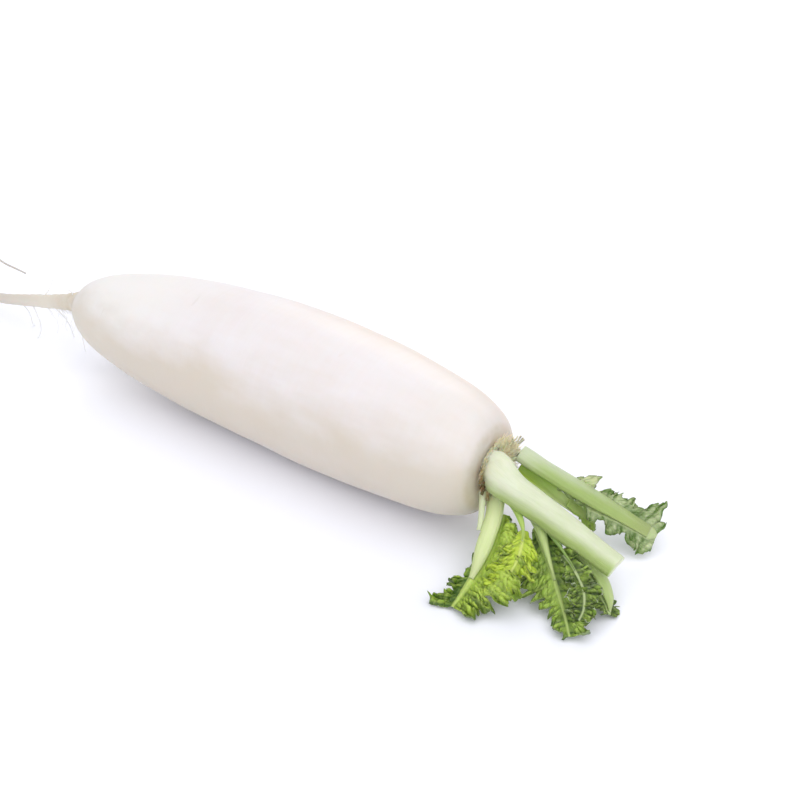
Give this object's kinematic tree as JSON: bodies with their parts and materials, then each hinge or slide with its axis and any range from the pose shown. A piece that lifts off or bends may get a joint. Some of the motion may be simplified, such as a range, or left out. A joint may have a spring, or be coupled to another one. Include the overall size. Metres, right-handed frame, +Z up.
{
  "type": "daikon radish",
  "caption": "White daikon radish lying on its side, with a thin curling taproot and a crown of cut, ragged-edged leaf stalks.",
  "frame": {"origin": "middle of the small flat spot under the root's widest part, on the surface it rests on", "axes": "+X along the root from the taproot to the crown and leaves, +Z up, +Y completes a right-handed frame"},
  "size_m": [0.4963, 0.1112, 0.0795],
  "materials": {
    "root_skin": "smooth satin skin",
    "crown_scale": "dry fibrous leaf-base remains",
    "pale_stalk": "moist satin stalk",
    "leaf_stalk": "moist satin stalk",
    "leaf_blade": "crinkled leaf with a faint sheen"
  },
  "bodies": {
    "root": {"root": "root_skin", "crown": "crown_scale", "stalk_broad": "pale_stalk", "stalk_thin": "pale_stalk", "leaf_far_stalk": "leaf_stalk", "leaf_far_blade": "leaf_blade", "leaf_small_stalk": "leaf_stalk", "leaf_small_blade": "leaf_blade", "leaf_left_stalk": "leaf_stalk", "leaf_left_blade": "leaf_blade", "leaf_mid_stalk": "leaf_stalk", "leaf_mid_blade": "leaf_blade", "leaf_right_stalk": "leaf_stalk", "leaf_right_blade": "leaf_blade", "leaf_inner_stalk": "leaf_stalk", "leaf_inner_blade": "leaf_blade", "leaf_curl_stalk": "leaf_stalk", "leaf_curl_blade": "leaf_blade"}
  },
  "joints": []
}
